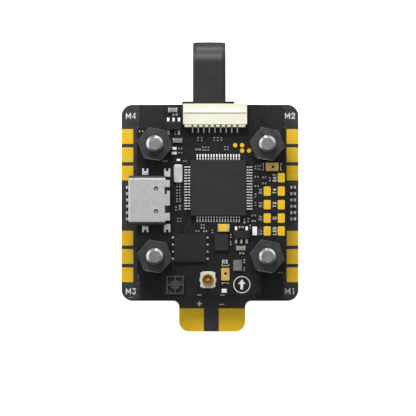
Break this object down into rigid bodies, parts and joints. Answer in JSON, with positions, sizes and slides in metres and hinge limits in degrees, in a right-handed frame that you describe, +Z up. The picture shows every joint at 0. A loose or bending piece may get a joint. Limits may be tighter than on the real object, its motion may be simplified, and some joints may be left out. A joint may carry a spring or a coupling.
{
  "type": "flight controller board stack",
  "caption": "Drone flight controller above a motor speed controller board, on rubber grommets with screws and nuts, joined by a ribbon lead.",
  "frame": {"origin": "on the axis of the 20 mm screw square, in the plane under the four screw heads on which the stack stands", "axes": "+X away from the USB socket, +Y towards the ribbon lead, +Z up from the speed controller to the flight controller"},
  "size_m": [0.0319, 0.052, 0.0177],
  "materials": {
    "esc_laminate": "satin black solder mask over copper",
    "fc_laminate": "matt black solder mask over copper",
    "gold_plating": "gold plated copper",
    "tinned_metal": "bright tin plate and solder",
    "dome_steel": "spring steel",
    "chip_resin": "moulded epoxy, fine matt grain",
    "moulding_black": "black nylon",
    "header_cream": "cream nylon",
    "socket_white": "white liquid-crystal polymer",
    "can_metal": "satin nickel",
    "shell_steel": "nickel-plated pressed steel",
    "lamp_white": "white moulded lamp",
    "tantalum_yellow": "yellow moulded epoxy",
    "tantalum_band": "pale solder-coated band",
    "ceramic_tan": "fired ceramic",
    "resistor_black": "black glass overcoat",
    "ferrite": "dark sintered ferrite",
    "grommet_rubber": "soft black silicone",
    "lead_black": "black sleeved ribbon",
    "screw_steel": "bright steel",
    "nut_black": "black oxide with worn edges"
  },
  "bodies": {
    "stack": {"esc_board": "esc_laminate", "fc_board": "fc_laminate", "esc_motor_pads": "gold_plating", "esc_battery_pads": "gold_plating", "fc_solder_pads": "gold_plating", "fc_test_pads": "gold_plating", "antenna_ring": "gold_plating", "antenna_pin": "gold_plating", "fc_button_cover": "gold_plating", "rx_button_cover": "gold_plating", "fc_button_dome": "dome_steel", "rx_button_dome": "dome_steel", "fc_button_base": "moulding_black", "rx_button_base": "moulding_black", "button_terminals": "tinned_metal", "mcu_package": "chip_resin", "mcu_leads": "tinned_metal", "regulators": "chip_resin", "regulator_leads": "tinned_metal", "flash_chip": "chip_resin", "flash_contacts": "tinned_metal", "gyro_sensor": "chip_resin", "crystal_can": "can_metal", "oscillator_can": "can_metal", "status_lamps": "lamp_white", "tantalum_capacitor": "tantalum_yellow", "tantalum_ends": "tantalum_band", "ceramic_capacitors": "ceramic_tan", "chip_resistors": "resistor_black", "chip_terminals": "tinned_metal", "inductor_frame": "ferrite", "inductor_core": "ferrite", "antenna_base": "socket_white", "usb_shell": "shell_steel", "usb_insulator": "moulding_black", "usb_tongue": "moulding_black", "usb_contacts": "gold_plating", "usb_anchor_feet": "tinned_metal", "fc_header": "header_cream", "esc_header": "header_cream", "fc_header_contacts": "tinned_metal", "esc_header_contacts": "tinned_metal", "esc_mosfets": "chip_resin", "esc_mosfet_leads": "tinned_metal", "esc_processors": "chip_resin", "esc_current_shunt": "resistor_black", "esc_capacitors": "ceramic_tan", "esc_capacitor_ends": "tinned_metal", "underside_chips": "chip_resin", "esc_grommets": "grommet_rubber", "fc_grommets": "grommet_rubber", "screws": "screw_steel", "nuts": "nut_black"},
    "harness": {"fc_plug": "moulding_black", "esc_plug": "moulding_black", "plug_contacts": "tinned_metal", "ribbon_lead": "lead_black"},
    "fc_button": {"fc_button_plunger": "gold_plating"},
    "rx_button": {"rx_button_plunger": "gold_plating"}
  },
  "joints": [
    {"name": "harness_unplug", "type": "slide", "parent": "stack", "child": "harness", "axis": [0, 1, 0], "range_m": [0, 0.006]},
    {"name": "fc_button_press", "type": "slide", "parent": "stack", "child": "fc_button", "axis": [0, 0, -1], "range_m": [0, 0.00012], "stiffness_N_per_m": 1000, "deforming": ["fc_button_dome"]},
    {"name": "rx_button_press", "type": "slide", "parent": "stack", "child": "rx_button", "axis": [0, 0, -1], "range_m": [0, 0.00012], "stiffness_N_per_m": 1000, "deforming": ["rx_button_dome"]}
  ]
}
